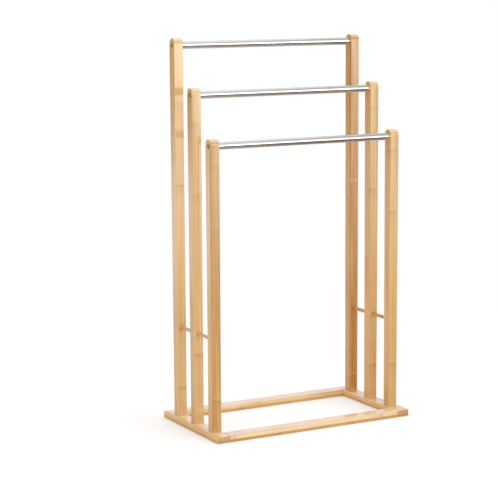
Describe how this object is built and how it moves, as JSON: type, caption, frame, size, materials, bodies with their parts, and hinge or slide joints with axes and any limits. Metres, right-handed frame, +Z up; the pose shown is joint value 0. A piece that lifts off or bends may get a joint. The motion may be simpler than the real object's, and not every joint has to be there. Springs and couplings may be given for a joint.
{
  "type": "towel rack",
  "caption": "Free-standing stepped towel rack: flat bamboo base frame, slim rounded posts in pairs and round polished steel bars that rise from front to back.",
  "frame": {"origin": "on the floor, at the centre of the base frame's underside", "axes": "+X to the right of a person facing the rack, +Y towards its back and its tallest posts, +Z up"},
  "size_m": [0.48, 0.26, 0.84],
  "materials": {
    "bamboo_post": "pale bamboo, clear satin lacquer, fine strips along the length with sparse darker knuckle bands",
    "bamboo_rail": "warm bamboo, clear satin lacquer, strips along the length",
    "spacer_dowel": "turned bamboo, clear satin lacquer",
    "corner_dowel": "plain beech, unfinished",
    "polished_bar": "mirror-polished stainless steel tube",
    "bar_plug": "turned zinc-plated steel",
    "threaded_insert": "turned brass",
    "zinc_fastener": "bright zinc-plated steel"
  },
  "bodies": {
    "root": {"left_side_rail": "bamboo_rail", "right_side_rail": "bamboo_rail", "rear_cross_rail": "bamboo_rail", "front_cross_rail": "bamboo_rail", "rear_left_corner_dowel_outer": "corner_dowel", "rear_left_corner_dowel_inner": "corner_dowel", "rear_right_corner_dowel_outer": "corner_dowel", "rear_right_corner_dowel_inner": "corner_dowel", "front_left_corner_dowel_outer": "corner_dowel", "front_left_corner_dowel_inner": "corner_dowel", "front_right_corner_dowel_outer": "corner_dowel", "front_right_corner_dowel_inner": "corner_dowel", "left_rear_post": "bamboo_post", "left_rear_post_insert": "threaded_insert", "left_rear_post_screw": "zinc_fastener", "left_middle_post": "bamboo_post", "left_middle_post_insert": "threaded_insert", "left_middle_post_screw": "zinc_fastener", "left_front_post": "bamboo_post", "left_front_post_insert": "threaded_insert", "left_front_post_screw": "zinc_fastener", "left_rear_spacer_dowel": "spacer_dowel", "left_front_spacer_dowel": "spacer_dowel", "right_rear_post": "bamboo_post", "right_rear_post_insert": "threaded_insert", "right_rear_post_screw": "zinc_fastener", "right_middle_post": "bamboo_post", "right_middle_post_insert": "threaded_insert", "right_middle_post_screw": "zinc_fastener", "right_front_post": "bamboo_post", "right_front_post_insert": "threaded_insert", "right_front_post_screw": "zinc_fastener", "right_rear_spacer_dowel": "spacer_dowel", "right_front_spacer_dowel": "spacer_dowel", "rear_bar": "polished_bar", "rear_bar_left_plug": "bar_plug", "rear_bar_left_screw": "zinc_fastener", "rear_bar_right_plug": "bar_plug", "rear_bar_right_screw": "zinc_fastener", "middle_bar": "polished_bar", "middle_bar_left_plug": "bar_plug", "middle_bar_left_screw": "zinc_fastener", "middle_bar_right_plug": "bar_plug", "middle_bar_right_screw": "zinc_fastener", "front_bar": "polished_bar", "front_bar_left_plug": "bar_plug", "front_bar_left_screw": "zinc_fastener", "front_bar_right_plug": "bar_plug", "front_bar_right_screw": "zinc_fastener"}
  },
  "joints": []
}
